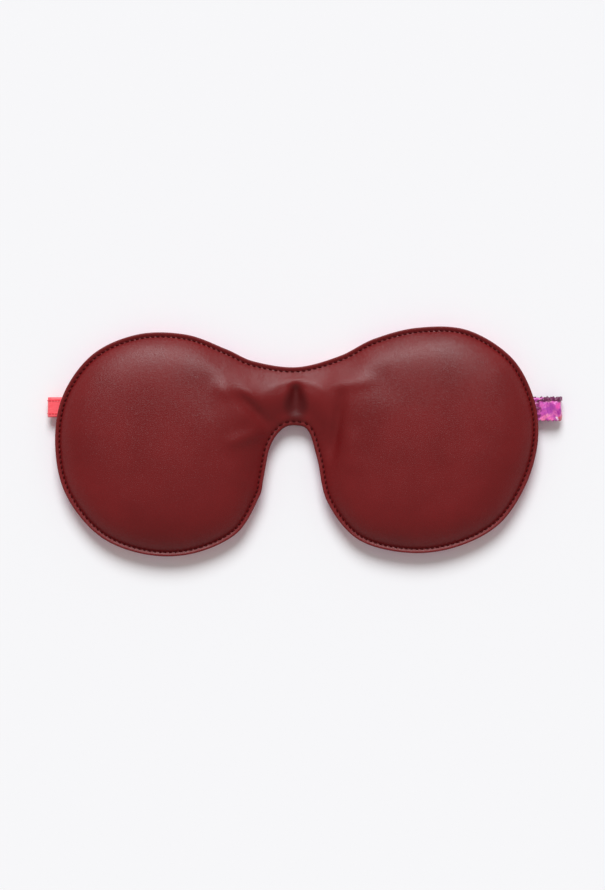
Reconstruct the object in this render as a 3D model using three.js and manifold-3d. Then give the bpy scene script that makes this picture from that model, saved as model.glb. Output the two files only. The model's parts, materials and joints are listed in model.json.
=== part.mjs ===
// A padded sleep mask: a leather front panel and a silk lining sewn together round the edge over
// two soft pads, with a nose notch between its lobes and a head strap folded flat behind it.
// Millimetres, +Z up out of the leather. The mask lies on its lining, and the origin is under the
// middle of the whole object, on the surface that it lies on.

import * as THREE from 'three';
import * as BufferGeometryUtils from 'three/addons/utils/BufferGeometryUtils.js';
import Module from 'manifold-3d';

const wasm = await Module();
wasm.setup();

// ---- driving dimensions ----

const STEPS_PER_SPAN = 2;      // straight edges between two neighbouring outline points
const EDGE_BAND = 3.2;         // width of the flat rim outside the pads
const BAND_OVERLAP = 0.3;      // the domed middle runs this far under the rim band
const STITCH_INSET = 2.2;      // edge of the mask to the middle of the topstitch row
const STITCH_WIDTH = 0.6;
const STITCH_HEIGHT = 0.4;

const BACK_RIM_Z = 4.2;        // underside of the lining at the rim
const BACK_DROP = 13;          // distance over which the lining drops to the table
const LINING = 0.5;
const BLACKOUT = 0.3;
const FRONT_RIM_Z = 6.8;       // underside of the leather at the rim
const FRONT_RISE = 8.8;        // height of the lobes above the rim
const FRONT_RAMP = 19;         // distance over which the leather climbs to that height
const LEATHER = 0.9;
const CLEARANCE = 0.3;         // gap between layers that lie on each other

const BLACKOUT_INSET = 4.5;
const PAD_INSET = 5.5;
const FOLD_X = -4;             // the crease across the bridge, where the mask folds in half
const PAD_END = 10;            // each pad stops this far from the crease

const STRAP_Y = 14.8;          // the strap leaves both side edges at this height
const STRAP_TOP_Z = 5.75;      // middle of the strap where it leaves the seam
const HALF_LENGTH = 114.2;     // middle of the object to the outside of each strap fold
const EDGE_LEFT_X = -108.6;    // side edges of the mask where the strap leaves them
const EDGE_RIGHT_X = 102.7;
const TAIL = 3.4;              // strap caught inside the seam
const SETTLE_LENGTH = 14;      // length over which a folded strap end sinks to the table
const TAPE_WIDTH = 8.9;
const TAPE_THICKNESS = 0.5;
const TAPE_DROP = 3.4;         // middle to middle of the tape's two layers at its fold
const TAPE_ROW = 2.6;          // middle of the tape to each of its two stitch rows
const CASING_WIDTH = 10.7;
const CASING_THICKNESS = 2.1;
const CASING_WALL = 0.3;
const CASING_DROP = 3.8;
const ELASTIC_WIDTH = 6;
const ELASTIC_THICKNESS = 0.6;
const JOIN_X = -14;            // the tape meets the elastic here, behind the bridge
const JOIN_SQUARE = 6;         // side of the square of stitches that holds them together
const MOUTH = 3;               // the casing covers this much of the tape's end
const FLOOR_GAP = 0.1;         // the strap lies this far above the table
const CHANNEL_HALF = 6.6;      // half width of the dent that the strap presses into the lining
const CHANNEL_SIDE = 2;        // width of each sloping side of that dent

// The outline, clockwise from the left end, as the points that a smooth closed curve runs through.
const OUTLINE = [
  // left lobe, over the top
  [-111, -1], [-107.5, 20.5], [-94.5, 38.5], [-74.5, 47.5], [-53, 47.5], [-35, 41],
  // upper edge of the bridge
  [-22.5, 35.5], [-3.5, 33], [15.5, 38],
  // right lobe
  [30.5, 45.5], [50, 50.5], [72, 49.5], [91.5, 37.5], [101.5, 19.5], [103.5, 0.5], [98, -19.5],
  [86, -37], [67, -47], [45.5, -49.5], [23.5, -43.5], [10, -27],
  // nose notch
  [5.5, -8], [1.5, 4.5], [-4, 7], [-10, 5.5], [-15.5, -2.5], [-18.5, -17], [-20.5, -25],
  // left lobe, under the bottom
  [-30.5, -41], [-50.5, -50], [-72, -50], [-92, -41.5], [-106.5, -23],
];

// ---- materials ----

const material = (color, roughness) => new THREE.MeshStandardMaterial({ color, roughness, metalness: 0 });
const leather = material(0x76282a, 0.45);
const silkPrint = material(0xd8688a, 0.5);
const wadding = material(0xece8e0, 0.95);
const blackout = material(0x1c1a1d, 0.9);
const burgundyThread = material(0x4e1314, 0.7);
const coralSilk = material(0xf9626a, 0.5);
const purpleSilk = material(0xb9509f, 0.5);
const elasticWeb = material(0xf2efe9, 0.85);
const coralThread = material(0xd9505a, 0.7);

// ---- the outline and its distance field ----

function spline(points, stepsPerSpan) {
  const curve = new THREE.CatmullRomCurve3(
    points.map(([x, y]) => new THREE.Vector3(x, y, 0)), true, 'catmullrom', 0.5);
  const count = points.length * stepsPerSpan;
  return Array.from({ length: count }, (_, i) => {
    const p = curve.getPoint(i / count);
    return new THREE.Vector2(p.x, p.y);
  });
}

const EDGE = spline(OUTLINE, STEPS_PER_SPAN);

// The edge moved inwards; it runs clockwise, so inwards is to the right of its direction.
function insetEdge(distance) {
  return EDGE.map((point, i) => {
    const before = EDGE[(i + EDGE.length - 1) % EDGE.length];
    const after = EDGE[(i + 1) % EDGE.length];
    const along = after.clone().sub(before).normalize();
    return new THREE.Vector2(point.x + along.y * distance, point.y - along.x * distance);
  });
}

function distanceToSegment(p, a, b) {
  const ab = b.clone().sub(a);
  const t = THREE.MathUtils.clamp(p.clone().sub(a).dot(ab) / ab.lengthSq(), 0, 1);
  return p.distanceTo(a.clone().addScaledVector(ab, t));
}

function insideEdge(p) {
  let inside = false;
  EDGE.forEach((a, i) => {
    const b = EDGE[(i + 1) % EDGE.length];
    const crosses = (a.y > p.y) !== (b.y > p.y);
    if (crosses && p.x < a.x + (b.x - a.x) * (p.y - a.y) / (b.y - a.y)) inside = !inside;
  });
  return inside;
}

// How far a point lies inside the edge, and 0 outside it.
function depth(x, y) {
  const p = new THREE.Vector2(x, y);
  if (!insideEdge(p)) return 0;
  return Math.min(...EDGE.map((a, i) => distanceToSegment(p, a, EDGE[(i + 1) % EDGE.length])));
}

// ---- the two surfaces of the mask ----

const smooth = (value, start, end) => THREE.MathUtils.smoothstep(value, start, end);

function frontUnderside(x, y) {
  return FRONT_RIM_Z + FRONT_RISE * smooth(depth(x, y), EDGE_BAND, EDGE_BAND + FRONT_RAMP);
}

// The room that the strap and its stitches need above the table, less on the tape's side than on
// the casing's. The dent deepens towards the casing just before the join.
const DEEPENS_FROM_X = JOIN_X - 20;
const DEEPENS_TO_X = JOIN_X - 8;

function channelHeight(x) {
  const stitchRoom = FLOOR_GAP + STITCH_HEIGHT + CLEARANCE;
  const tapeRoom = stitchRoom + TAPE_THICKNESS + CLEARANCE;
  const casingRoom = stitchRoom + CASING_THICKNESS + CLEARANCE;
  return THREE.MathUtils.lerp(tapeRoom, casingRoom, smooth(x, DEEPENS_FROM_X, DEEPENS_TO_X));
}

function backUnderside(x, y) {
  const puffed = BACK_RIM_Z * (1 - smooth(depth(x, y), EDGE_BAND, EDGE_BAND + BACK_DROP));
  const inChannel = Math.abs(y - STRAP_Y) < CHANNEL_HALF + 0.01;
  return inChannel ? Math.max(puffed, channelHeight(x)) : puffed;
}

// ---- solids ----

function toManifold(geometry) {
  geometry.deleteAttribute('normal');
  geometry.deleteAttribute('uv');
  const merged = BufferGeometryUtils.mergeVertices(geometry, 1e-4);
  const vertProperties = new Float32Array(merged.attributes.position.array);
  const triVerts = new Uint32Array(merged.index.array);
  return new wasm.Manifold(new wasm.Mesh({ numProp: 3, vertProperties, triVerts }));
}

function toGeometry(solid) {
  const mesh = solid.getMesh();
  const geometry = new THREE.BufferGeometry();
  geometry.setAttribute('position', new THREE.BufferAttribute(mesh.vertProperties, 3));
  geometry.setIndex(new THREE.BufferAttribute(mesh.triVerts, 1));
  geometry.computeVertexNormals();
  return geometry;
}

// A flat plate inside a clockwise loop, round a hole that is another clockwise loop.
function plate(loop, hole, bottom, top) {
  const shape = new THREE.Shape(loop);
  if (hole) shape.holes.push(new THREE.Path([...hole].reverse()));
  const geometry = new THREE.ExtrudeGeometry(shape, { depth: top - bottom, bevelEnabled: false });
  return geometry.translate(0, 0, bottom);
}

// The columns and rows of the lattice that every layer of the mask shares, so that facets of
// neighbouring layers stay parallel. Four rows follow the sides of the strap's dent.
const COLUMN_STEP = 8;
const COLUMNS = Array.from({ length: 29 }, (_, i) => -116 + i * COLUMN_STEP);
const CHANNEL_ROWS = [
  STRAP_Y - CHANNEL_HALF - CHANNEL_SIDE, STRAP_Y - CHANNEL_HALF,
  STRAP_Y + CHANNEL_HALF, STRAP_Y + CHANNEL_HALF + CHANNEL_SIDE,
];
const ROWS = [-55, -47, -40, -33, -25, -16, -5, ...CHANNEL_ROWS, 31, 38, 46, 55];

// A closed slab between two height functions over the whole lattice.
function slab(bottomAt, topAt) {
  const positions = [];
  for (const heightAt of [bottomAt, topAt]) {
    for (const y of ROWS) for (const x of COLUMNS) positions.push(x, y, heightAt(x, y));
  }
  const index = [];
  const layerSize = ROWS.length * COLUMNS.length;
  const at = (layer, row, column) => layer * layerSize + row * COLUMNS.length + column;
  const quad = (a, b, c, d) => index.push(a, b, c, a, c, d);
  for (let r = 0; r + 1 < ROWS.length; r++) {
    for (let c = 0; c + 1 < COLUMNS.length; c++) {
      quad(at(1, r, c), at(1, r, c + 1), at(1, r + 1, c + 1), at(1, r + 1, c));
      index.push(at(0, r, c), at(0, r + 1, c + 1), at(0, r, c + 1));
      index.push(at(0, r, c), at(0, r + 1, c), at(0, r + 1, c + 1));
    }
  }
  const lastRow = ROWS.length - 1;
  const lastColumn = COLUMNS.length - 1;
  for (let c = 0; c < lastColumn; c++) {
    quad(at(0, 0, c), at(0, 0, c + 1), at(1, 0, c + 1), at(1, 0, c));
    quad(at(0, lastRow, c + 1), at(0, lastRow, c), at(1, lastRow, c), at(1, lastRow, c + 1));
  }
  for (let r = 0; r < lastRow; r++) {
    quad(at(0, r + 1, 0), at(0, r, 0), at(1, r, 0), at(1, r + 1, 0));
    quad(at(0, r, lastColumn), at(0, r + 1, lastColumn), at(1, r + 1, lastColumn), at(1, r, lastColumn));
  }
  const geometry = new THREE.BufferGeometry();
  geometry.setAttribute('position', new THREE.BufferAttribute(new Float32Array(positions), 3));
  geometry.setIndex(index);
  return toManifold(geometry);
}

const clip = (solid, inset) => solid.intersect(toManifold(plate(insetEdge(inset), null, -5, 30)));

// A panel: its domed middle, with a flat band of even thickness round it.
function panel(undersideAt, rimZ, thickness) {
  const middle = slab(undersideAt, (x, y) => undersideAt(x, y) + thickness);
  const band = toManifold(plate(EDGE, insetEdge(EDGE_BAND), rimZ, rimZ + thickness));
  return toGeometry(clip(middle, EDGE_BAND - BAND_OVERLAP).add(band));
}

const frontPanel = () => panel(frontUnderside, FRONT_RIM_Z, LEATHER);
const backPanel = () => panel(backUnderside, BACK_RIM_Z, LINING);

const blackoutFloor = (x, y) => backUnderside(x, y) + LINING + CLEARANCE;
const padFloor = (x, y) => blackoutFloor(x, y) + BLACKOUT + CLEARANCE;
const padCeiling = (x, y) => frontUnderside(x, y) - CLEARANCE;

function blackoutLayer() {
  return toGeometry(clip(slab(blackoutFloor, (x, y) => blackoutFloor(x, y) + BLACKOUT), BLACKOUT_INSET));
}

// One lobe's pad: side is -1 for the left lobe and 1 for the right.
function pad(side) {
  const both = clip(slab(padFloor, padCeiling), PAD_INSET);
  const reach = 130;
  const keep = new THREE.BoxGeometry(reach, reach, reach).translate(
    FOLD_X + side * (PAD_END + reach / 2), 0, 0);
  return toGeometry(both.intersect(toManifold(keep)));
}

function threadRow(bottom) {
  const outer = insetEdge(STITCH_INSET - STITCH_WIDTH / 2);
  const inner = insetEdge(STITCH_INSET + STITCH_WIDTH / 2);
  return plate(outer, inner, bottom, bottom + STITCH_HEIGHT);
}

const topThread = () => threadRow(FRONT_RIM_Z + LEATHER + CLEARANCE);
const bobbinThread = () => threadRow(BACK_RIM_Z - CLEARANCE - STITCH_HEIGHT);

// ---- the strap ----

// The side view of a strap piece, as points of its middle line: out of the seam on one side, round
// the fold, down towards the table and along it to the join.
function strapLine(side, { tailX, thickness, drop, bottomZ, endX }) {
  const layZ = bottomZ + thickness / 2;
  const radius = drop / 2;
  const foldX = HALF_LENGTH - radius - thickness / 2;
  const points = [new THREE.Vector2(tailX, STRAP_TOP_Z)];
  const foldSteps = 10;
  for (let i = 0; i <= foldSteps; i++) {
    const angle = Math.PI / 2 - Math.PI * i / foldSteps;
    points.push(new THREE.Vector2(foldX + radius * Math.cos(angle),
      STRAP_TOP_Z - radius + radius * Math.sin(angle)));
  }
  const settleSteps = 4;
  for (let i = 1; i <= settleSteps; i++) {
    const t = i / settleSteps;
    const z = THREE.MathUtils.lerp(STRAP_TOP_Z - drop, layZ, smooth(t, 0, 1));
    points.push(new THREE.Vector2(foldX - SETTLE_LENGTH * t, z));
  }
  points.push(new THREE.Vector2(endX * side, layZ));
  return points.map((p) => new THREE.Vector2(p.x * side, p.y));
}

// A side-view line moved to its left by a distance.
function offsetLine(line, distance) {
  return line.map((point, i) => {
    const before = line[Math.max(i - 1, 0)];
    const after = line[Math.min(i + 1, line.length - 1)];
    const along = after.clone().sub(before).normalize();
    return new THREE.Vector2(point.x - along.y * distance, point.y + along.x * distance);
  });
}

// A flat strip that follows a side-view line, as wide in Y as it is told.
function strip(line, thickness, width, middleY = STRAP_Y) {
  const shape = new THREE.Shape([
    ...offsetLine(line, thickness / 2), ...offsetLine(line, -thickness / 2).reverse(),
  ]);
  const geometry = new THREE.ExtrudeGeometry(shape, { depth: width, bevelEnabled: false });
  return geometry.rotateX(Math.PI / 2).translate(0, middleY + width / 2, 0);
}

// The same line, longer at both ends.
function lengthened(line, extra) {
  const first = line[0].clone().sub(line[1]).setLength(extra).add(line[0]);
  const last = line.at(-1).clone().sub(line.at(-2)).setLength(extra).add(line.at(-1));
  return [first, ...line.slice(1, -1), last];
}

const tapeLine = strapLine(-1, {
  tailX: -EDGE_LEFT_X - TAIL,
  thickness: TAPE_THICKNESS,
  drop: TAPE_DROP,
  bottomZ: FLOOR_GAP + STITCH_HEIGHT + CLEARANCE,
  endX: JOIN_X - CLEARANCE,
});
const casingLine = strapLine(1, {
  tailX: EDGE_RIGHT_X + 2 * CLEARANCE,
  thickness: CASING_THICKNESS,
  drop: CASING_DROP,
  bottomZ: FLOOR_GAP,
  endX: JOIN_X - MOUTH,
});

// One of the two rows of stitches along the tape, on the side that faces out at the fold.
function tapeStitches(side) {
  const clearOfCasing = tapeLine.slice(1);
  clearOfCasing[clearOfCasing.length - 1] = new THREE.Vector2(
    JOIN_X - MOUTH - CLEARANCE, tapeLine.at(-1).y);
  clearOfCasing.unshift(new THREE.Vector2(EDGE_LEFT_X - CLEARANCE, STRAP_TOP_Z));
  const outside = offsetLine(clearOfCasing, -(TAPE_THICKNESS / 2 + CLEARANCE + STITCH_HEIGHT / 2));
  return strip(outside, STITCH_HEIGHT, STITCH_WIDTH, STRAP_Y + side * TAPE_ROW);
}

// The square of stitches that sews tape, elastic and casing together behind the bridge.
function joinStitch() {
  const loop = (half) => [[-half, -half], [-half, half], [half, half], [half, -half]].map(
    ([x, y]) => new THREE.Vector2(JOIN_X + x, STRAP_Y + y));
  const bottom = FLOOR_GAP + CASING_THICKNESS + CLEARANCE;
  return plate(loop(JOIN_SQUARE / 2), loop(JOIN_SQUARE / 2 - STITCH_WIDTH), bottom, bottom + STITCH_HEIGHT);
}

function strapCasing() {
  const outside = toManifold(strip(casingLine, CASING_THICKNESS, CASING_WIDTH));
  const tunnel = toManifold(strip(
    lengthened(casingLine, 1), CASING_THICKNESS - 2 * CASING_WALL, CASING_WIDTH - 2 * CASING_WALL));
  return toGeometry(outside.subtract(tunnel));
}

function strapElastic() {
  const line = [...casingLine];
  line[0] = new THREE.Vector2(EDGE_RIGHT_X - TAIL, STRAP_TOP_Z);
  line[line.length - 1] = new THREE.Vector2(JOIN_X + CLEARANCE, line.at(-1).y);
  return strip(line, ELASTIC_THICKNESS, ELASTIC_WIDTH);
}

function mesh(name, geometry, look) {
  const node = new THREE.Mesh(geometry, look);
  node.name = name;
  return node;
}

const mask = new THREE.Group();
mask.add(
  mesh('front_panel', frontPanel(), leather),
  mesh('back_panel', backPanel(), silkPrint),
  mesh('blackout_layer', blackoutLayer(), blackout),
  mesh('pad_left', pad(-1), wadding),
  mesh('pad_right', pad(1), wadding),
  mesh('topstitch_thread', topThread(), burgundyThread),
  mesh('bobbin_thread', bobbinThread(), burgundyThread),
  mesh('strap_tape', strip(tapeLine, TAPE_THICKNESS, TAPE_WIDTH), coralSilk),
  mesh('tape_stitch_upper', tapeStitches(1), coralThread),
  mesh('tape_stitch_lower', tapeStitches(-1), coralThread),
  mesh('strap_casing', strapCasing(), purpleSilk),
  mesh('strap_elastic', strapElastic(), elasticWeb),
  mesh('join_stitch', joinStitch(), coralThread),
);

export default mask;
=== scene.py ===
import json
import math

import bmesh
import bpy
import numpy as np
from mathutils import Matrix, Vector
from mathutils.bvhtree import BVHTree
from mathutils.geometry import delaunay_2d_cdt


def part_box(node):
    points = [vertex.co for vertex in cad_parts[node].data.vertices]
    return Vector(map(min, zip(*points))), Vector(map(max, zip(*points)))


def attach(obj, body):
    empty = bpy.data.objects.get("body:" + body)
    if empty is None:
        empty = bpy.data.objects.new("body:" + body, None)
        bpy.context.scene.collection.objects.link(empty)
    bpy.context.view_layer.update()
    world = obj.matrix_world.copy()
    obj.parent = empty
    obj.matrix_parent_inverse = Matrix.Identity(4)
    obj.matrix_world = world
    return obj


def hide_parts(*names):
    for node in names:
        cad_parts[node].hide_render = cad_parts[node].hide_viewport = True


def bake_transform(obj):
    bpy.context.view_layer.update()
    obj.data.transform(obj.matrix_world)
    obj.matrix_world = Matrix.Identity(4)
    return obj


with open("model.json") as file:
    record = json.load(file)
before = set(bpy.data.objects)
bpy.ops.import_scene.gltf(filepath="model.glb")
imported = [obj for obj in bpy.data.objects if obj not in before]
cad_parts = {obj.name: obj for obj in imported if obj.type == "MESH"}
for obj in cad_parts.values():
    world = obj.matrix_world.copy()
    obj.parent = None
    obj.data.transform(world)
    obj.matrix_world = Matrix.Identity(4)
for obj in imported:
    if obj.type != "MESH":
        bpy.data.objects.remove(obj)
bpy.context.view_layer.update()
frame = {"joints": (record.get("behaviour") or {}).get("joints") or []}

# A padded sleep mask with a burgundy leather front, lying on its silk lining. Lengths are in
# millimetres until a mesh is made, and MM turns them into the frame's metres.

MM = 0.001

# ---- sizes ----

# The outline, clockwise from the left end, as the points that a smooth closed curve runs through.
OUTLINE = [
    (-111, -1), (-107.5, 20.5), (-94.5, 38.5), (-74.5, 47.5), (-53, 47.5), (-35, 41),
    (-22.5, 35.5), (-3.5, 33), (15.5, 38),
    (30.5, 45.5), (50, 50.5), (72, 49.5), (91.5, 37.5), (101.5, 19.5), (103.5, 0.5), (98, -19.5),
    (86, -37), (67, -47), (45.5, -49.5), (23.5, -43.5), (10, -27),
    (5.5, -8), (1.5, 4.5), (-4, 7), (-10, 5.5), (-15.5, -2.5), (-18.5, -17), (-20.5, -25),
    (-30.5, -41), (-50.5, -50), (-72, -50), (-92, -41.5), (-106.5, -23),
]
STITCH_INSET = 1.9
STITCH_PITCH = 2.4
LEATHER = 0.9
LINING = 0.45
RIM_TOP = 7.1                 # top of the leather on the flat rim
RIM_LINING_TOP = RIM_TOP - LEATHER - 0.05
RIM_TILT = 0.5                # the rim turns up this much from its stitches to its edge
PUFF = 8.9                    # height of the lobes above the rim
PUFF_REACH = 9.0              # distance from the seam over which most of that height is reached
BRIDGE_SLACK = 0.36           # share of that height that is missing over the unpadded bridge
BRIDGE_REACH = 15.0
FOLD_FADE = 5.0               # the folds die out over this distance before the seam
DEEPEST_FOLD = 0.7            # no fold goes deeper than this below the rim
BACK_PUFF = 5.824             # the same for the lining, which is pressed flat by the floor
BACK_REACH = 5.5
TAPE_ROOM, CASING_ROOM = 1.7, 2.9    # height of the lining above the floor over the strap
STRAP_DENT = 8.4              # half width of the dent that the strap presses into the lining
LOWEST = 0.02
TAPE_Y = 15.2                 # the strap leaves the two sides at slightly different heights
CASING_Y = 14.3
STRAP_TOP_Z = 5.75
JOIN_X = -14.0
FOLD_X = frame["joints"][0]["pos_m"][0] / MM
FOLD_HALF = 10.0              # the bridge bends this far to each side of its crease
HALF_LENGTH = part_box("strap_casing")[1].x / MM
FOLD_OVERHANG = 0.35          # the strap's folds stand out this much past the CAD part's

LEATHER_LATTICE = 1.4         # spacing of a panel's points inside its rings
LINING_LATTICE = 1.7
INTERLINING_LATTICE = 3.2
RINGS = [0, 0.35, 0.9, 1.4, 1.9, 2.3, 2.9, 3.8, 5.0, 6.4, 8.0]
INTERLINING_RINGS = [4.5, 6.0, 8.0]
LINING_INSET = 0.3            # the lining's edge lies this far inside the leather's
PAD_INSET = 5.5

SWELL_FRAMES = 16             # length of the cloth simulation
SWELL_PRESSURE = 3.0
SWELL_SLACK = 0.004           # the leather is cut this much larger than its pads, as a share
SWELL_LIMIT = 1.6
SWELL_SMOOTHING = 6

# Length, radius and sink of each kind of stitch.
RIM_STITCH = (1.85, 0.33, 0.5)
TAPE_STITCH = (1.2, 0.17, 0.24)
JOIN_STITCH = (1.15, 0.15, 0.26)
RIM_STITCH_SLANT = 0.28
TAPE_STITCH_PITCH = 1.3

TAPE_WIDTH, TAPE_THICKNESS = 8.9, 0.5
CASING_WIDTH, CASING_THICKNESS = 10.7, 2.1
ELASTIC_WIDTH, ELASTIC_THICKNESS = 6.0, 0.5
TAPE_DROP, CASING_DROP = 3.4, 3.8    # middle to middle of the two layers at each fold
TAPE_ROW = 2.9                # middle of the tape to each of its stitch rows
EDGE_LEFT_X, EDGE_RIGHT_X = -108.6, 102.7
TAIL = 3.4                    # strap caught inside the seam
SETTLE_LENGTH = 14.0          # length over which a folded strap end sinks to the floor
JOIN_SQUARE = 5.4


# ---- the outline as numbers ----

def closed_spline(points, count):
    """Evenly spaced points on a closed Catmull-Rom curve, and its length."""
    p = np.array(points, float)
    fine = []
    for i in range(len(p)):
        a, b, c, d = p[i - 1], p[i], p[(i + 1) % len(p)], p[(i + 2) % len(p)]
        t = np.linspace(0, 1, 40, endpoint=False)[:, None]
        fine.append(0.5 * (2 * b + (c - a) * t + (2 * a - 5 * b + 4 * c - d) * t ** 2
                           + (3 * b - a - 3 * c + d) * t ** 3))
    fine = np.concatenate(fine)
    closed = np.vstack([fine, fine[:1]])
    along = np.concatenate([[0], np.cumsum(np.linalg.norm(np.diff(closed, axis=0), axis=1))])
    stations = np.linspace(0, along[-1], count, endpoint=False)
    even = np.stack([np.interp(stations, along, closed[:, k]) for k in (0, 1)], axis=1)
    return even, along[-1]


EDGE_COUNT = 800
CHUNK = 2000                  # points measured at a time
EDGE, EDGE_LENGTH = closed_spline(OUTLINE, EDGE_COUNT)


def inward(loop):
    """Unit vectors that point into a clockwise loop."""
    along = np.roll(loop, -2, axis=0) - np.roll(loop, 2, axis=0)
    along /= np.linalg.norm(along, axis=1)[:, None]
    return np.stack([along[:, 1], -along[:, 0]], axis=1)


EDGE_INWARD = inward(EDGE)


def edge_facts(xy):
    """For each point: its distance to the edge, a soft distance with no ridge in the middle,
    and the place along the edge that it is nearest to."""
    step = EDGE_LENGTH / EDGE_COUNT
    nearest = np.empty(len(xy))
    soft = np.empty(len(xy))
    place = np.empty(len(xy))
    # what the sum of r ** -4 along an endless straight edge one millimetre away comes to
    straight_line_sum = math.sqrt(math.pi) * math.gamma(1.5) / math.gamma(2)
    for start in range(0, len(xy), CHUNK):
        rows = slice(start, start + CHUNK)
        part = xy[rows]
        r = np.linalg.norm(part[:, None, :] - EDGE[None, :, :], axis=2)
        r = np.maximum(r, 0.45 * step)
        k = r.argmin(axis=1)
        offset = part - EDGE[k]
        nearest[rows] = np.abs(np.einsum("ij,ij->i", offset, EDGE_INWARD[k]))
        soft[rows] = (step * (r ** -4).sum(axis=1) / straight_line_sum) ** (-1 / 3)
        tangent = np.stack([-EDGE_INWARD[k][:, 1], EDGE_INWARD[k][:, 0]], axis=1)
        place[rows] = k * step + np.einsum("ij,ij->i", offset, tangent)
    return nearest, soft, place


# ---- heights of the two skins ----

def smooth(value, start, end):
    t = np.clip((value - start) / (end - start), 0, 1)
    return t * t * (3 - 2 * t)


def fold(xy, start, end, width, depth):
    """A valley along a line, deepest in its middle; a negative depth is a ridge."""
    a, b = np.array(start, float), np.array(end, float)
    line = b - a
    length = np.linalg.norm(line)
    t = (xy - a) @ line / length ** 2
    across = (xy - a) @ np.array([-line[1], line[0]]) / length
    ends = smooth(t, -0.25, 0.35) * (1 - smooth(t, 0.65, 1.25))
    return -depth * ends * np.exp(-(across / width) ** 2)


def bridge_crease(xy):
    """The pinch across the bridge: it falls away from a ridge along the brow to the notch, with a
    V-shaped valley that opens down its middle."""
    x, y = xy[:, 0] - FOLD_X, xy[:, 1]
    peak = 26.0
    below = peak - y
    half_width = 1.7 + 0.2 * np.clip(below, 0, 20)
    valley = -3.1 * smooth(below, -0.6, 3.8) * (1 - 0.85 * smooth(below, 6, 17))
    arch = below + 0.9 - 0.03 * x ** 2
    ridge = 0.7 * np.exp(-(arch / 1.4) ** 2) * np.exp(-(x / 9) ** 2)
    slope = -1.2 * np.exp(-(x / 14) ** 2) * smooth(below, -2, 14)
    return valley * np.exp(-(x / half_width) ** 2) + ridge + slope


# Valleys and ridges that run out of the bridge: start, end, half width and depth.
FOLDS = [
    ((-32, 23), (-17, 8), 2.8, 2.1),
    ((-34, -1), (-19, 4), 3.0, -0.9),
    ((-40, 24), (-23, 20), 3.6, -1.1),
    ((16, 20), (12, -8), 2.5, 2.0),
    ((10, 24.5), (30, 27), 3.2, -0.9),
    ((20, 4), (19, -14), 3.4, -0.5),
]


def rim_lift(xy, nearest):
    """The rim turns up toward its edge, except over the nose, where it turns down."""
    over_nose = np.exp(-((xy[:, 0] - FOLD_X) / 12) ** 4)
    over_nose *= smooth(xy[:, 1], -16, 0) * (1 - smooth(xy[:, 1], 14, 24))
    return RIM_TILT * np.clip(1 - nearest / STITCH_INSET, 0, 1) * (1 - 2 * over_nose)


def strap_y(x):
    """Middle of the strap's width: it drifts a little along the back of the left lobe."""
    return TAPE_Y + (CASING_Y - TAPE_Y) * smooth(x, -105, -45)


def front_height(xy):
    """Top of the leather: a flat rim, then the padded lobes with the folds pressed into them."""
    nearest, soft, _ = edge_facts(xy)
    inside = np.clip(soft - STITCH_INSET - 0.3, 0, None)
    rise = 1 - np.exp(-inside / PUFF_REACH)
    unpadded = np.exp(-((xy[:, 0] - FOLD_X) / BRIDGE_REACH) ** 2)
    z = RIM_TOP + PUFF * rise * (1 - BRIDGE_SLACK * unpadded) + rim_lift(xy, nearest)
    folds = bridge_crease(xy)
    for start, end, width, deep in FOLDS:
        folds = folds + fold(xy, start, end, width, deep)
    z += folds * smooth(nearest, STITCH_INSET, STITCH_INSET + FOLD_FADE)
    off_rim = smooth(nearest, STITCH_INSET, STITCH_INSET + 3)
    least = RIM_TOP + rim_lift(xy, nearest) - DEEPEST_FOLD * off_rim
    blend_width = DEEPEST_FOLD / 2 * off_rim
    return 0.5 * (z + least + np.sqrt((z - least) ** 2 + blend_width ** 2))


def back_height(xy):
    """Underside of the lining: from the rim down to the surface that the mask lies on."""
    nearest, soft, _ = edge_facts(xy)
    inside = np.clip(soft - STITCH_INSET - 0.3, 0, None)
    z = RIM_LINING_TOP - LINING - BACK_PUFF * (1 - np.exp(-inside / BACK_REACH))
    z = z + rim_lift(xy, nearest)
    under_strap = np.exp(-(np.abs(xy[:, 1] - strap_y(xy[:, 0])) / STRAP_DENT) ** 4)
    room = TAPE_ROOM + (CASING_ROOM - TAPE_ROOM) * smooth(xy[:, 0], JOIN_X - 20, JOIN_X - 6)
    raised = np.maximum(z, room)
    z = z + (raised - z) * under_strap
    return np.maximum(z, LOWEST)


# ---- meshes ----

def mesh_object(name, vertices_mm, faces, smooth_shading=True):
    mesh = bpy.data.meshes.new(name)
    mesh.from_pydata([tuple(float(c) * MM for c in v) for v in vertices_mm], [], faces)
    mesh.validate()
    if smooth_shading:
        mesh.polygons.foreach_set("use_smooth", [True] * len(mesh.polygons))
    piece = bpy.data.objects.new(name, mesh)
    bpy.context.scene.collection.objects.link(piece)
    return piece


def positions(mesh):
    """A mesh's vertices in metres, one per row."""
    co = np.empty(len(mesh.vertices) * 3, np.float32)
    mesh.vertices.foreach_get("co", co)
    return co.reshape(-1, 3).astype(float)


def move_to(mesh, co):
    mesh.vertices.foreach_set("co", co.astype(np.float32).ravel())
    mesh.update()


def face_outward(piece):
    build = bmesh.new()
    build.from_mesh(piece.data)
    bmesh.ops.recalc_face_normals(build, faces=build.faces)
    build.to_mesh(piece.data)
    build.free()


def apply_modifiers(piece):
    bpy.context.view_layer.objects.active = piece
    for modifier in list(piece.modifiers):
        with bpy.context.temp_override(object=piece, active_object=piece):
            bpy.ops.object.modifier_apply(modifier=modifier.name)


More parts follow.
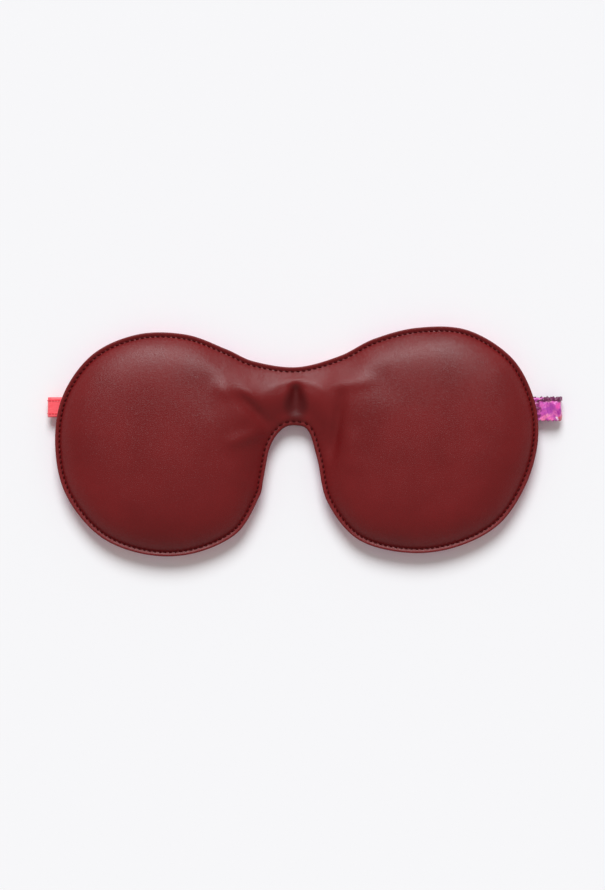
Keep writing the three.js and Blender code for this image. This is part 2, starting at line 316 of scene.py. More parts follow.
def panel_layout(spacing, ring_insets, edge_step):
    """Points and triangles of a flat panel: rings that follow the edge, then an even lattice."""
    loop = EDGE[::edge_step]
    normals = EDGE_INWARD[::edge_step]
    rings = [loop + normals * inset for inset in ring_insets]
    count = len(loop)
    points = np.concatenate(rings)
    faces = []
    for r in range(len(rings) - 1):
        for i in range(count):
            j = (i + 1) % count
            faces.append((r * count + j, r * count + i, (r + 1) * count + i, (r + 1) * count + j))
    low, high = EDGE.min(axis=0), EDGE.max(axis=0)
    lattice = []
    for row, y in enumerate(np.arange(low[1], high[1], spacing * math.sqrt(3) / 2)):
        shift = 0.5 * spacing * (row % 2)
        lattice += [(x + shift, y) for x in np.arange(low[0], high[0], spacing)]
    lattice = np.array(lattice)
    inner = rings[-1]
    lattice = lattice[inside_loop(lattice, inner)]
    gap = np.array([np.linalg.norm(inner - p, axis=1).min() for p in lattice])
    lattice = lattice[gap > 0.55 * spacing]
    first = len(points) - count
    fill = [Vector(p) for p in np.concatenate([inner, lattice])]
    edges = [(i, (i + 1) % count) for i in range(count)]
    result = delaunay_2d_cdt(fill, edges, [], 1, 1e-6)
    triangles = [tuple(first + v for v in face) for face in result[2]]
    return np.concatenate([points, lattice]), faces, triangles


def inside_loop(points, loop):
    a, b = loop, np.roll(loop, -1, axis=0)
    inside = np.zeros(len(points), bool)
    for (ax, ay), (bx, by) in zip(a, b):
        crosses = (ay > points[:, 1]) != (by > points[:, 1])
        if ay != by:
            reach = ax + (bx - ax) * (points[:, 1] - ay) / (by - ay)
            inside ^= crosses & (points[:, 0] < reach)
    return inside


def panel(name, height, up, spacing, ring_insets, edge_step=1):
    """One skin of the mask at a height function; up says which way its faces look."""
    points, quads, triangles = panel_layout(spacing, ring_insets, edge_step)
    piece = mesh_object(name, np.column_stack([points, height(points)]), quads + triangles)
    face_up(piece, up)
    return piece


def face_up(piece, up):
    """Turns every face so that it looks up, or down when up is false."""
    build = bmesh.new()
    build.from_mesh(piece.data)
    for face in build.faces:
        if (face.normal.z > 0) != up:
            face.normal_flip()
    build.to_mesh(piece.data)
    build.free()


def thicken(piece, thickness):
    solid = piece.modifiers.new("thickness", "SOLIDIFY")
    solid.thickness = thickness * MM
    solid.offset = -1
    solid.use_even_offset = False
    solid.use_rim = True
    apply_modifiers(piece)


# ---- camera, lights and floor ----

FRAME_HEIGHT = 395.338        # height of what the camera sees at its distance
CAMERA_DISTANCE = 1500
SENSOR_HEIGHT = 36
FLOOR_HALF = 1500
WINDOW_DIRECTION = (-0.05, 1.0, 0.93)
WINDOW_SPREAD = 32            # degrees
WINDOW_STRENGTH = 3.14
ROOM_STRENGTH = 0.44


def camera():
    data = bpy.data.cameras.new("camera")
    data.sensor_fit = "VERTICAL"
    data.sensor_height = SENSOR_HEIGHT
    data.lens = SENSOR_HEIGHT * CAMERA_DISTANCE / FRAME_HEIGHT
    view = bpy.data.objects.new("camera", data)
    view.location = (-1.1 * MM, -1.6 * MM, (CAMERA_DISTANCE + RIM_TOP) * MM)
    bpy.context.scene.collection.objects.link(view)
    bpy.context.scene.camera = view


def sun(name, direction, spread, strength, color):
    """Even light from a wide, far source: direction points at it."""
    data = bpy.data.lights.new(name, "SUN")
    data.angle = math.radians(spread)
    data.energy = strength
    data.color = color
    lamp = bpy.data.objects.new(name, data)
    lamp.rotation_euler = Vector(direction).to_track_quat("Z", "Y").to_euler()
    bpy.context.scene.collection.objects.link(lamp)


def studio():
    world = bpy.data.worlds.new("studio")
    bpy.context.scene.world = world
    world.use_nodes = True
    background = world.node_tree.nodes["Background"]
    background.inputs["Color"].default_value = (1, 0.915, 0.88, 1)
    background.inputs["Strength"].default_value = ROOM_STRENGTH
    sun("window", WINDOW_DIRECTION, WINDOW_SPREAD, WINDOW_STRENGTH, (0.924, 0.977, 1))
    bpy.context.scene.view_settings.view_transform = "Standard"
    bpy.context.scene.view_settings.look = "None"
    corners = [(x * FLOOR_HALF, y * FLOOR_HALF, 0) for x, y in ((-1, -1), (1, -1), (1, 1), (-1, 1))]
    floor = mesh_object("floor", corners, [(0, 1, 2, 3)], False)
    floor.data.materials.append(paper_floor())


# ---- materials ----

class Look:
    """A material's nodes, with short ways to add and join them."""

    def __init__(self, name):
        self.material = bpy.data.materials.new(name)
        self.material.use_nodes = True
        self.tree = self.material.node_tree
        self.shader = self.tree.nodes["Principled BSDF"]

    def node(self, kind, **values):
        made = self.tree.nodes.new(kind)
        for key, value in values.items():
            if hasattr(made, key):
                setattr(made, key, value)
            else:
                made.inputs[key.replace("_", " ")].default_value = value
        return made

    def join(self, source, target):
        self.tree.links.new(source, target)

    def coordinates(self, scale=(1, 1, 1)):
        """Object coordinates in millimetres, times scale."""
        place = self.node("ShaderNodeTexCoord")
        mapping = self.node("ShaderNodeMapping")
        mapping.inputs["Scale"].default_value = [s / MM for s in scale]
        self.join(place.outputs["Object"], mapping.inputs["Vector"])
        return mapping.outputs["Vector"]

    def ramp(self, source, stops):
        made = self.node("ShaderNodeValToRGB")
        elements = made.color_ramp.elements
        while len(elements) < len(stops):
            elements.new(0.5)
        for element, (position, color) in zip(elements, stops):
            element.position = position
            element.color = (*color, 1)
        self.join(source, made.inputs["Fac"])
        return made.outputs["Color"]

    def mix(self, factor, a, b, blend="MIX"):
        made = self.node("ShaderNodeMix")
        made.data_type = "RGBA"
        made.blend_type = blend
        for value, socket in ((factor, made.inputs[0]), (a, made.inputs[6]), (b, made.inputs[7])):
            if isinstance(value, bpy.types.NodeSocket):
                self.join(value, socket)
            elif isinstance(value, tuple):
                socket.default_value = (*value, 1)
            else:
                socket.default_value = value
        return made.outputs[2]

    def blot(self, place, tone, centre, reach, color):
        """Paints a soft blot of colour over tone, round a point in millimetres."""
        apart = self.node("ShaderNodeVectorMath", operation="DISTANCE")
        self.join(place, apart.inputs[0])
        apart.inputs[1].default_value = centre
        cover = self.node("ShaderNodeMapRange", interpolation_type="SMOOTHSTEP")
        cover.inputs["From Min"].default_value = reach
        cover.inputs["From Max"].default_value = 0.45 * reach
        self.join(apart.outputs["Value"], cover.inputs["Value"])
        return self.mix(cover.outputs["Result"], tone, color)

    def bump(self, height, strength, distance, under=None):
        made = self.node("ShaderNodeBump")
        made.inputs["Strength"].default_value = strength
        made.inputs["Distance"].default_value = distance * MM
        self.join(height, made.inputs["Height"])
        if under is not None:
            self.join(under, made.inputs["Normal"])
        return made.outputs["Normal"]

    def set(self, **values):
        for key, value in values.items():
            self.shader.inputs[key.replace("_", " ")].default_value = value


def linear(r, g, b):
    """An sRGB colour of 0 to 255 as linear light."""
    return tuple(((c / 255 + 0.055) / 1.055) ** 2.4 if c > 10 else c / 255 / 12.92 for c in (r, g, b))


def paper_floor():
    look = Look("paper_floor")
    look.set(Base_Color=(*linear(240, 240, 242), 1), Roughness=0.9, Specular_IOR_Level=0.2)
    return look.material


def leather_look():
    look = Look("burgundy_leather")
    place = look.coordinates()
    clouds = look.node("ShaderNodeTexNoise", Scale=0.045, Detail=3.0)
    look.join(place, clouds.inputs["Vector"])
    tone = look.ramp(clouds.outputs["Fac"],
                     [(0.3, linear(105, 12, 15)), (0.7, linear(115, 16, 19))])
    pores = look.node("ShaderNodeTexVoronoi", Scale=1.7)
    pores.feature = "DISTANCE_TO_EDGE"
    look.join(place, pores.inputs["Vector"])
    grain = look.ramp(pores.outputs["Distance"], [(0.0, (0, 0, 0)), (0.16, (1, 1, 1))])
    tone = look.mix(0.10, tone, grain, "MULTIPLY")
    # painted shade: the pinched leather over the nose is darkened in its colour, standing in for the
    # shade that falls in the V-shaped valley there
    narrow, low = 1.5, 0.2
    crease_shade_centre = (FOLD_X * narrow, 16.5, 8.0 * low)
    tone = look.blot(look.coordinates((narrow, 1, low)), tone, crease_shade_centre, 10.5, linear(84, 8, 11))
    look.join(tone, look.shader.inputs["Base Color"])
    fine = look.node("ShaderNodeTexNoise", Scale=3.2, Detail=4.0, Roughness=0.6)
    look.join(place, fine.inputs["Vector"])
    gloss = look.ramp(clouds.outputs["Fac"],
                      [(0.3, (0.33, 0.33, 0.33)), (0.75, (0.40, 0.40, 0.40))])
    look.join(gloss, look.shader.inputs["Roughness"])
    normal = look.bump(grain, 0.45, 0.07)
    normal = look.bump(fine.outputs["Fac"], 0.4, 0.08, normal)
    look.join(normal, look.shader.inputs["Normal"])
    look.set(Specular_IOR_Level=0.33)
    return look.material


def thread_look(name, color, roughness=0.6):
    look = Look(name)
    place = look.coordinates()
    strands = look.node("ShaderNodeTexWave", Scale=1.3, Distortion=1.5)
    look.join(place, strands.inputs["Vector"])
    dark = tuple(c * 0.6 for c in color)
    tone = look.ramp(strands.outputs["Fac"], [(0.0, dark), (0.6, color)])
    look.join(tone, look.shader.inputs["Base Color"])
    look.join(look.bump(strands.outputs["Fac"], 0.5, 0.06), look.shader.inputs["Normal"])
    look.set(Roughness=roughness, Specular_IOR_Level=0.1)
    return look.material


def plain_cloth(name, color, scale=2.4):
    look = Look(name)
    place = look.coordinates()
    weave = look.node("ShaderNodeTexBrick", Scale=scale)
    look.join(place, weave.inputs["Vector"])
    clouds = look.node("ShaderNodeTexNoise", Scale=0.5, Detail=5.0)
    look.join(place, clouds.inputs["Vector"])
    tone = look.ramp(clouds.outputs["Fac"], [(0.3, tuple(c * 0.86 for c in color)), (0.7, color)])
    look.join(tone, look.shader.inputs["Base Color"])
    look.join(look.bump(weave.outputs["Fac"], 0.3, 0.08), look.shader.inputs["Normal"])
    look.set(Roughness=0.9)
    return look.material


def satin_tape_look():
    look = Look("coral_satin")
    place = look.coordinates()
    streaks = look.node("ShaderNodeTexNoise", Scale=1.0, Detail=4.0)
    squeezed = look.coordinates((0.35, 3.0, 0.35))
    look.join(squeezed, streaks.inputs["Vector"])
    tone = look.ramp(streaks.outputs["Fac"], [(0.3, linear(240, 72, 84)), (0.55, linear(250, 92, 102)),
                                             (0.75, linear(255, 118, 124))])
    look.join(tone, look.shader.inputs["Base Color"])
    ribs = look.node("ShaderNodeTexWave", Scale=1.1)
    ribs.bands_direction = "X"
    look.join(place, ribs.inputs["Vector"])
    look.join(look.bump(ribs.outputs["Fac"], 0.15, 0.04), look.shader.inputs["Normal"])
    look.set(Roughness=0.42, Sheen_Weight=0.2)
    return look.material


def silk_print_look(name, scale, weights, blots_over=()):
    """Painterly blots of purple, magenta, pink, white and coral on satin."""
    look = Look(name)
    place = look.coordinates()
    drift = look.node("ShaderNodeTexNoise", Scale=scale * 0.8, Detail=2.0)
    look.join(place, drift.inputs["Vector"])
    warped = look.node("ShaderNodeMix")
    warped.data_type = "RGBA"
    warped.inputs[0].default_value = 0.16
    look.join(place, warped.inputs[6])
    look.join(drift.outputs["Color"], warped.inputs[7])
    blots = look.node("ShaderNodeTexNoise", Scale=scale, Detail=3.5, Roughness=0.5, Distortion=1.6)
    look.join(place, blots.inputs["Vector"])
    tone = look.ramp(blots.outputs["Fac"], weights)
    veins = look.node("ShaderNodeTexNoise", Scale=scale * 2.3, Detail=2.0, Distortion=2.5)
    look.join(place, veins.inputs["Vector"])
    line = look.ramp(veins.outputs["Fac"],
                     [(0.47, (0, 0, 0)), (0.5, (0.6, 0.6, 0.6)), (0.53, (0, 0, 0))])
    if blots_over:
        ragged = look.node("ShaderNodeVectorMath", operation="MULTIPLY_ADD")
        edges = look.node("ShaderNodeTexNoise", Scale=0.55, Detail=3.0)
        look.join(place, edges.inputs["Vector"])
        look.join(edges.outputs["Color"], ragged.inputs[0])
        ragged.inputs[1].default_value = (5.0, 5.0, 5.0)
        look.join(place, ragged.inputs[2])
        for centre, reach, color in blots_over:
            shifted = tuple(c + 2.5 for c in centre)
            tone = look.blot(ragged.outputs["Vector"], tone, shifted, reach, color)
    tone = look.mix(line, tone, linear(128, 34, 118))
    look.join(tone, look.shader.inputs["Base Color"])
    weave = look.node("ShaderNodeTexNoise", Scale=4.0, Detail=2.0)
    look.join(place, weave.inputs["Vector"])
    look.join(look.bump(weave.outputs["Fac"], 0.12, 0.04), look.shader.inputs["Normal"])
    look.set(Roughness=0.4, Sheen_Weight=0.25)
    return look.material


def lining_look():
    return silk_print_look("silk_lining_print", 0.045, [
        (0.30, linear(252, 232, 236)), (0.42, linear(248, 128, 150)), (0.50, linear(232, 84, 150)),
        (0.58, linear(196, 74, 176)), (0.68, linear(250, 112, 110)),
    ])


def casing_look():
    return silk_print_look("purple_silk_print", 0.16, [
        (0.30, linear(250, 150, 190)), (0.42, linear(226, 98, 182)), (0.52, linear(188, 66, 170)),
        (0.62, linear(224, 84, 184)), (0.72, linear(238, 120, 120)),
    ], [
        ((109.0, CASING_Y - 0.2, 6.6), 3.2, linear(176, 60, 166)),
        ((112.4, CASING_Y + 1.4, 6.2), 1.7, linear(234, 76, 176)),
        ((113.2, CASING_Y - 1.0, 6.0), 1.6, linear(166, 34, 150)),
        ((108.0, CASING_Y + 3.4, 6.6), 1.5, linear(252, 156, 214)),
        ((111.3, CASING_Y + 3.2, 6.2), 1.4, linear(244, 138, 214)),
        ((106.4, CASING_Y - 4.4, 6.0), 2.0, linear(255, 128, 176)),
        ((109.6, CASING_Y - 4.4, 6.0), 1.7, linear(255, 118, 190)),
        ((112.2, CASING_Y - 3.8, 6.0), 1.5, linear(250, 214, 240)),
        ((114.3, CASING_Y - 4.6, 4.6), 2.2, linear(222, 84, 92)),
        ((114.6, CASING_Y + 3.6, 4.6), 1.8, linear(206, 62, 92)),
        ((103.4, CASING_Y, 6.2), 2.1, linear(120, 22, 84)),
        ((103.4, CASING_Y - 3.2, 6.2), 1.8, linear(120, 22, 84)),
        ((103.4, CASING_Y + 3.0, 6.2), 1.6, linear(140, 40, 100)),
    ])


def frill_look():
    return silk_print_look("purple_frill_print", 0.3, [
        (0.30, linear(160, 50, 116)), (0.42, linear(104, 8, 66)), (0.60, linear(88, 4, 60)),
        (0.70, linear(130, 24, 92)), (0.80, linear(190, 70, 140)),
    ])


# ---- the front: leather, its rim and its stitches ----

def inflate(piece):
    """A short cloth simulation that swells a panel off its pads, held at its rim."""
    start = positions(piece.data)
    nearest, _, _ = edge_facts(start[:, :2] / MM)
    held = piece.vertex_groups.new(name="held")
    for i, d in enumerate(nearest):
        held.add([i], float(1 - smooth(d, STITCH_INSET, STITCH_INSET + 1.5)), "REPLACE")
    cloth = piece.modifiers.new("cloth", "CLOTH")
    settings = cloth.settings
    settings.quality = 6
    settings.mass = 0.3
    settings.tension_stiffness = 40
    settings.compression_stiffness = 40
    settings.shear_stiffness = 20
    settings.bending_stiffness = 2.0
    settings.air_damping = 5
    settings.vertex_group_mass = "held"
    settings.use_pressure = True
    settings.uniform_pressure_force = SWELL_PRESSURE
    settings.shrink_min = -SWELL_SLACK
    settings.effector_weights.gravity = 0
    cloth.point_cache.frame_start = 1
    cloth.point_cache.frame_end = SWELL_FRAMES
    for step in range(1, SWELL_FRAMES + 1):
        bpy.context.scene.frame_set(step)
    shape = piece.evaluated_get(bpy.context.evaluated_depsgraph_get())
    moved = positions(shape.data)
    piece.modifiers.remove(cloth)
    piece.vertex_groups.remove(held)
    bpy.context.scene.frame_set(1)
    shift = moved - start
    for _ in range(SWELL_SMOOTHING):
        shift = neighbour_mean(piece.data, shift)
    limit = SWELL_LIMIT * MM
    size = np.linalg.norm(shift, axis=1)
    shift *= (limit * np.tanh(size / limit) / np.maximum(size, 1e-9))[:, None]
    move_to(piece.data, start + shift)


def neighbour_mean(mesh, values):
    """Each vertex's value averaged with the values of the vertices that it shares edges with."""
    ends = np.empty(len(mesh.edges) * 2, np.int32)
    mesh.edges.foreach_get("vertices", ends)
    a, b = ends[0::2], ends[1::2]
    total = values.copy()
    count = np.ones(len(values))
    np.add.at(total, a, values[b])
    np.add.at(total, b, values[a])
    np.add.at(count, a, 1)
    np.add.at(count, b, 1)
    return total / count[:, None]


def sew(piece, side):
    """Presses the stitch row into a panel and puckers the cloth just inside it."""
    co = positions(piece.data) / MM
    nearest, _, place = edge_facts(co[:, :2])
    turns = round(EDGE_LENGTH / STITCH_PITCH)
    phase = 2 * math.pi * turns * place / EDGE_LENGTH
    groove = np.exp(-((nearest - STITCH_INSET) / 0.35) ** 2) * (0.34 + 0.10 * np.cos(phase))
    pucker = np.exp(-(np.clip(nearest - STITCH_INSET, 0, None) / 1.8)) * smooth(nearest, 1.9, 3.0)
    wander = 0.5 + 0.5 * np.sin(place * 0.11 + 1.3) * np.sin(place * 0.043)
    rounded = 0.30 * np.clip(1 - nearest / 0.4, 0, 1) ** 2
    co[:, 2] += side * (-groove - 0.13 * pucker * np.cos(phase) * (0.5 + wander) - rounded)
    move_to(piece.data, co * MM)


def front_panel():
    piece = panel("leather_front", front_height, True, LEATHER_LATTICE, RINGS)
    inflate(piece)
    sew(piece, 1)
    thicken(piece, LEATHER)
    piece.data.materials.append(leather_look())
    bend(piece)
    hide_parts("front_panel")
    return piece


def bend(piece):
    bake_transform(piece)


def stitch(points_out, faces_out, centre, along, up, size):
    """One stitch: a thread that rises out of its hole, lies on the surface and dives back in."""
    length, radius, sink = size
    side = np.cross(up, along)
    sections, ring = 7, 6
    first = len(points_out)
    for i in range(sections):
        t = i / (sections - 1)
        lift = math.sin(math.pi * t) ** 0.6 * sink - sink * 0.55
        thin = 0.55 + 0.45 * math.sin(math.pi * t) ** 0.5
        middle = centre + along * (t - 0.5) * length + up * lift
        for k in range(ring):
            angle = 2 * math.pi * k / ring
            points_out.append(middle + radius * thin * (math.cos(angle) * side + math.sin(angle) * up))
    for i in range(sections - 1):
        for k in range(ring):
            n = (k + 1) % ring
            a, b = first + i * ring, first + (i + 1) * ring
            faces_out.append((a + k, a + n, b + n, b + k))
    faces_out.append(tuple(first + k for k in reversed(range(ring))))
    faces_out.append(tuple(first + (sections - 1) * ring + k for k in range(ring)))


def stitch_row(name, panel_piece, side):
    """Stitches along the rim, laid on the panel's surface: its top, or its underside for side -1."""
    turns = round(EDGE_LENGTH / STITCH_PITCH)
    centres, _ = closed_spline(OUTLINE, turns * 4)
    normals = inward(centres)
    tree = BVHTree.FromObject(panel_piece, bpy.context.evaluated_depsgraph_get())
    points, faces = [], []
    for i in range(turns):
        centre = centres[4 * i + 2] + normals[4 * i + 2] * STITCH_INSET
        into = normals[4 * i + 2]
        along = np.array([-into[1], into[0], 0.0])
        turned = (along * math.cos(RIM_STITCH_SLANT)
                  + np.array([into[0], into[1], 0]) * math.sin(RIM_STITCH_SLANT))
        start = Vector((centre[0] * MM, centre[1] * MM, side * 0.05))
        hit, normal, _, _ = tree.ray_cast(start, Vector((0, 0, -side)))
        if hit is None:
            continue
        middle = np.array(hit) / MM
        up = np.array([0, 0, float(side)])
        stitch(points, faces, middle + up * 0.12, turned, up, RIM_STITCH)
    return mesh_object(name, points, faces)


# ---- inside and behind: lining, interlining and pads ----

def lining_wrinkles(xy, nearest, place):
    """Small gathers that run in from the lining's seam, and a few soft ripples."""
    gathers = np.sin(place * 0.83 + 2 * np.sin(place * 0.09)) * np.exp(-nearest / 5)
    ripples = np.sin(xy[:, 0] * 0.21 + 1.4 * np.sin(xy[:, 1] * 0.13)) * smooth(nearest, 3, 12)
    return 0.16 * gathers + 0.10 * ripples


def lining_height(xy):
    nearest, _, place = edge_facts(xy)
    z = back_height(xy) + lining_wrinkles(xy, nearest, place) * smooth(nearest, 0.8, 3)
    return np.maximum(z, LOWEST)


def back_panel():
    rings = [inset + LINING_INSET for inset in RINGS]
    piece = panel("silk_lining", lining_height, False, LINING_LATTICE, rings)
    sew(piece, -1)
    thicken(piece, LINING)
    piece.data.materials.append(lining_look())
    bend(piece)
    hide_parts("back_panel")
    return piece


def interlining_height(xy):
    return back_height(xy) + LINING + 0.35


def blackout_layer():
    piece = panel("interlining", interlining_height, True, INTERLINING_LATTICE, INTERLINING_RINGS, 4)
    thicken(piece, 0.25)
    piece.data.materials.append(plain_cloth("dark_interlining", linear(34, 32, 36)))
    bend(piece)
    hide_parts("blackout_layer")


def pad(name, node, body, side):
    """One lobe's wadding: a crowned form with thin edges, between the interlining and the leather."""
    ring = EDGE[::4] + EDGE_INWARD[::4] * PAD_INSET
    end = FOLD_X + side * FOLD_HALF
    kept = side * (ring[:, 0] - end) > 0
    start = next(i for i in range(len(ring)) if kept[i] and not kept[i - 1])
    order = [(start + i) % len(ring) for i in range(len(ring))]
    loop = np.array([ring[i] for i in order if kept[i]])
    close = np.linspace(loop[-1], loop[0], 10)[1:-1]
    loop = np.concatenate([loop, close])
    low, high = loop.min(axis=0), loop.max(axis=0)
    lattice = np.array([(x, y) for x in np.arange(low[0], high[0], 3.0)
                        for y in np.arange(low[1], high[1], 3.0)])
    lattice = lattice[inside_loop(lattice, loop)]
    gap = np.array([np.linalg.norm(loop - p, axis=1).min() for p in lattice])
    lattice, gap = lattice[gap > 1.5], gap[gap > 1.5]
    points = np.concatenate([loop, lattice])
    edges = [(i, (i + 1) % len(loop)) for i in range(len(loop))]
    triangles = delaunay_2d_cdt([Vector(p) for p in points], edges, [], 1, 1e-6)[2]
    fullness = 1 - 0.88 * np.exp(-np.concatenate([np.zeros(len(loop)), gap]) / 2.5)
    bottom = back_height(points) + LINING + 0.9
    top = front_height(points) - LEATHER - 0.35
    middle, half = (top + bottom) / 2, (top - bottom) / 2
    vertices = np.concatenate([np.column_stack([points, middle + half * fullness]),
                               np.column_stack([points, middle - half * fullness])])
    shift = len(points)
    faces = [tuple(f) for f in triangles] + [tuple(shift + v for v in reversed(f)) for f in triangles]
    faces += [(a, b, shift + b, shift + a) for a, b in edges]
    piece = mesh_object(name, vertices, faces)
    face_outward(piece)
    piece.data.materials.append(plain_cloth(name + "_wadding", linear(236, 232, 224), 0.6))
    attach(piece, body)
    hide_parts(node)


# ---- the strap ----

def strap_line(side, tail_x, thickness, drop, bottom_z, end_x, step=0.8):
    """Side view of a strap piece: out of the seam, round its fold, down and along to the join.
    Evenly spaced (x, z) points, and the outward normal of the strap at each."""
    lay = bottom_z + thickness / 2
    radius = drop / 2
    fold_x = HALF_LENGTH + FOLD_OVERHANG - radius - thickness / 2
    points = [(tail_x, STRAP_TOP_Z)]
    for i in range(25):
        angle = math.pi / 2 - math.pi * i / 24
        points.append((fold_x + radius * math.cos(angle),
                       STRAP_TOP_Z - radius + radius * math.sin(angle)))
    for i in range(1, 13):
        t = i / 12
        z = STRAP_TOP_Z - drop + (lay - STRAP_TOP_Z + drop) * t * t * (3 - 2 * t)
        points.append((fold_x - SETTLE_LENGTH * t, z))
    points.append((end_x * side, lay))
    points = np.array(points) * [side, 1]
    along = np.concatenate([[0], np.cumsum(np.linalg.norm(np.diff(points, axis=0), axis=1))])
    stations = np.linspace(0, along[-1], int(along[-1] / step) + 1)
    line = np.stack([np.interp(stations, along, points[:, k]) for k in (0, 1)], axis=1)
    direction = np.gradient(line, axis=0)
    direction /= np.linalg.norm(direction, axis=1)[:, None]
    outward = np.stack([-direction[:, 1], direction[:, 0]], axis=1) * side
    return line, outward, stations


def ribbon(name, line, outward, stations, width, thickness, wave):
    """A flat woven strip with soft edges that follows a side-view line."""
    columns = 13
    vertices, faces = [], []
    for i in range(len(line)):
        for c in range(columns):
            across = 2 * c / (columns - 1) - 1
            edge = 1 - 0.35 * abs(across) ** 8
            lift = wave(stations[i], across)
            x = line[i, 0] + outward[i, 0] * (thickness / 2 * edge + lift)
            z = line[i, 1] + outward[i, 1] * (thickness / 2 * edge + lift)
            vertices.append((x, strap_y(x) + across * width / 2, z))
    for i in range(len(line) - 1):
        for c in range(columns - 1):
            a = i * columns + c
            faces.append((a, a + 1, a + columns + 1, a + columns))
    piece = mesh_object(name, vertices, faces)
    build = bmesh.new()
    build.from_mesh(piece.data)
    bmesh.ops.recalc_face_normals(build, faces=build.faces)
    first = min(build.faces, key=lambda f: f.index)
    if first.normal.z < 0:
        for face in build.faces:
            face.normal_flip()
    build.to_mesh(piece.data)
    build.free()
    thicken(piece, thickness)
    return piece


TAPE_LINE = strap_line(-1, -EDGE_LEFT_X - TAIL, TAPE_THICKNESS, TAPE_DROP, 0.8, JOIN_X - 0.3)
CASING_LINE = strap_line(1, EDGE_RIGHT_X - 2.0, CASING_THICKNESS, CASING_DROP, 0.1, JOIN_X - 3.0, 0.35)
ELASTIC_LINE = strap_line(1, EDGE_RIGHT_X - TAIL, CASING_THICKNESS, CASING_DROP, 0.1, JOIN_X + 0.3, 1.0)


def tape():
    piece = ribbon("coral_tape", *TAPE_LINE, TAPE_WIDTH, TAPE_THICKNESS,
                   lambda s, across: 0.05 * math.sin(s * 0.5) * across)
    piece.data.materials.append(satin_tape_look())
    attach(piece, "left_half")
    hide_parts("strap_tape")


def tape_row(name, node, side):
    """Fine stitches along one edge of the tape, on its outer face."""
    line, outward, stations = TAPE_LINE
    points, faces = [], []
    for place in np.arange(4.2, stations[-1] - 3.6, TAPE_STITCH_PITCH):
        x, z = (np.interp(place, stations, line[:, k]) for k in (0, 1))
        nx, nz = (np.interp(place, stations, outward[:, k]) for k in (0, 1))
        up = np.array([nx, 0, nz]) / math.hypot(nx, nz)
        along = np.array([up[2], 0, -up[0]])
        centre = np.array([x, strap_y(x) + side * TAPE_ROW, z]) + up * (TAPE_THICKNESS / 2 + 0.06)
        stitch(points, faces, centre, along, up, TAPE_STITCH)
    piece = mesh_object(name, points, faces)
    piece.data.materials.append(thread_look(name + "_thread", linear(240, 62, 76)))
    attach(piece, "left_half")
    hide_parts(node)


def casing_section(place, angle):
    """A point of the gathered casing's cross-section: across and outward, in millimetres."""
    half_width = CASING_WIDTH / 2 - 0.55
    across, out = math.cos(angle), math.sin(angle)
    flat = math.copysign(abs(out) ** 0.55, out)
    drift = 1.7 * math.sin(place * 0.53) + 1.1 * math.sin(across * 2.3 + place * 0.2)
    gathers = math.sin(place * 3.1 + drift)
    slant = math.sin(place * 1.27 + across * 2.6 + 1.3 * math.sin(place * 0.31))
    near_seam = math.exp(-max(place - 1.5, 0) / 2.4)
    pleats = math.cos(across * 14 + 0.7 * math.sin(place * 2.0))
    puff = 0.68 * (1 - 0.45 * near_seam)
    relief = 0.24 * gathers + 0.30 * slant
    out_mm = flat * (puff + (1 - near_seam) * relief + 0.34 * near_seam * pleats)
    frill = 0.26 * math.sin(place * 2.9 + 0.8 * math.sin(place * 0.7))
    frill += 0.16 * math.sin(place * 5.3 + 2)
    edge = abs(across) ** 3
    across_mm = across * half_width + math.copysign(edge, across) * (0.25 + frill * (1 - near_seam))
    return across_mm, out_mm


def casing():
    line, outward, stations = CASING_LINE
    ring = 56
    vertices, faces = [], []
    for i, place in enumerate(stations):
        for k in range(ring):
            across, out = casing_section(place, 2 * math.pi * k / ring)
            z = max(line[i, 1] + outward[i, 1] * out, 0.03)
            vertices.append((line[i, 0] + outward[i, 0] * out, CASING_Y + across, z))
    for i in range(len(stations) - 1):
        for k in range(ring):
            n = (k + 1) % ring
            a, b = i * ring, (i + 1) * ring
            faces.append((a + k, a + n, b + n, b + k))
    piece = mesh_object("gathered_casing", vertices, faces)
    face_outward(piece)
    piece.data.materials.append(casing_look())
    bend(piece)
    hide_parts("strap_casing")


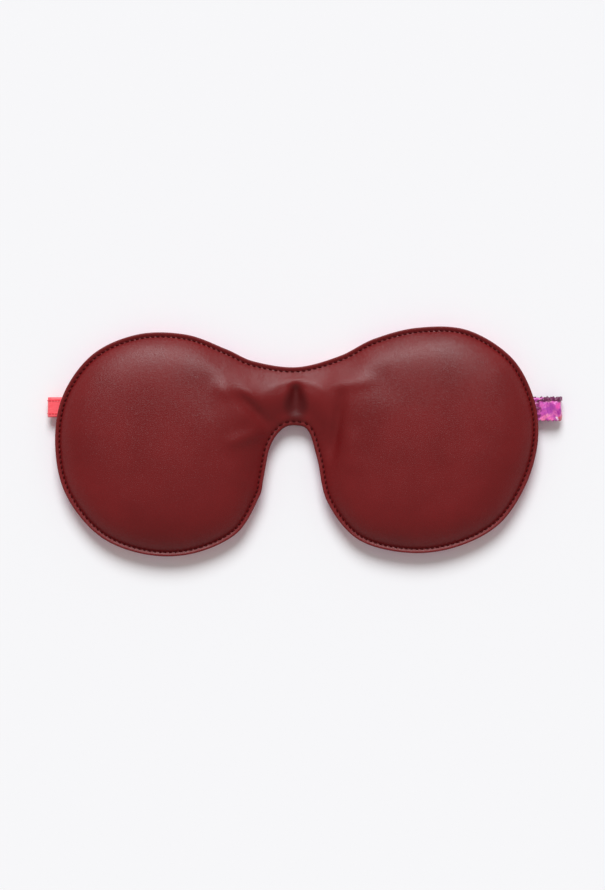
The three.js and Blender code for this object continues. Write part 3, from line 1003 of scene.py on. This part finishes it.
def casing_frill():
    """The narrow heading that stands past the casing's upper stitching."""
    line, outward, stations = CASING_LINE
    vertices, faces = [], []
    rows = 4
    for i, place in enumerate(stations):
        tall = 1.55 + 0.30 * math.sin(place * 2.2 + 1.4 * math.sin(place * 0.6))
        tall += 0.18 * math.sin(place * 4.7)
        tall *= smooth(place, 2.5, 6.0)
        for r in range(rows):
            t = r / (rows - 1)
            out = 0.95 - 0.35 * t + 0.36 * t * math.sin(place * 3.4 + 0.9 * math.sin(place * 0.9))
            across = CASING_WIDTH / 2 - 1.5 + tall * t
            vertices.append((line[i, 0] + outward[i, 0] * out, CASING_Y + across,
                             line[i, 1] + outward[i, 1] * out))
    for i in range(len(stations) - 1):
        for r in range(rows - 1):
            a = i * rows + r
            faces.append((a, a + 1, a + rows + 1, a + rows))
    piece = mesh_object("casing_frill", vertices, faces)
    thicken(piece, 0.16)
    piece.data.materials.append(frill_look())
    bend(piece)


def elastic():
    piece = ribbon("elastic_band", *ELASTIC_LINE, ELASTIC_WIDTH, ELASTIC_THICKNESS,
                   lambda s, across: -ELASTIC_THICKNESS / 2)
    piece.data.materials.append(plain_cloth("braided_elastic", linear(240, 238, 232), 1.2))
    bend(piece)
    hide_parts("strap_elastic")


def join_square():
    """The square of stitches that sews tape, elastic and casing together."""
    half, count = JOIN_SQUARE / 2, 4
    top = 0.1 + CASING_THICKNESS / 2 + 0.95
    points, faces = [], []
    for turn in range(4):
        along = np.array([math.cos(turn * math.pi / 2), math.sin(turn * math.pi / 2), 0])
        out = np.array([along[1], -along[0], 0])
        for i in range(count):
            t = (i + 0.5) / count * 2 - 1
            centre = np.array([JOIN_X, CASING_Y, top]) + out * half + along * half * t
            stitch(points, faces, centre, along, np.array([0, 0, 1.0]), JOIN_STITCH)
    piece = mesh_object("join_stitches", points, faces)
    piece.data.materials.append(thread_look("join_thread", linear(214, 52, 66)))
    bend(piece)
    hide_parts("join_stitch")


# ---- run ----

camera()
studio()
leather = front_panel()
top_row = stitch_row("rim_stitches", leather, 1)
top_row.data.materials.append(thread_look("burgundy_thread", linear(74, 8, 12)))
bend(top_row)
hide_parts("topstitch_thread")

lining = back_panel()
under_row = stitch_row("under_stitches", lining, -1)
under_row.data.materials.append(thread_look("bobbin_thread", linear(92, 24, 30)))
bend(under_row)
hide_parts("bobbin_thread")

blackout_layer()
pad("wadding_left", "pad_left", "left_half", -1)
pad("wadding_right", "pad_right", "right_half", 1)
tape()
tape_row("tape_stitches_upper", "tape_stitch_upper", 1)
tape_row("tape_stitches_lower", "tape_stitch_lower", -1)
casing()
casing_frill()
elastic()
join_square()
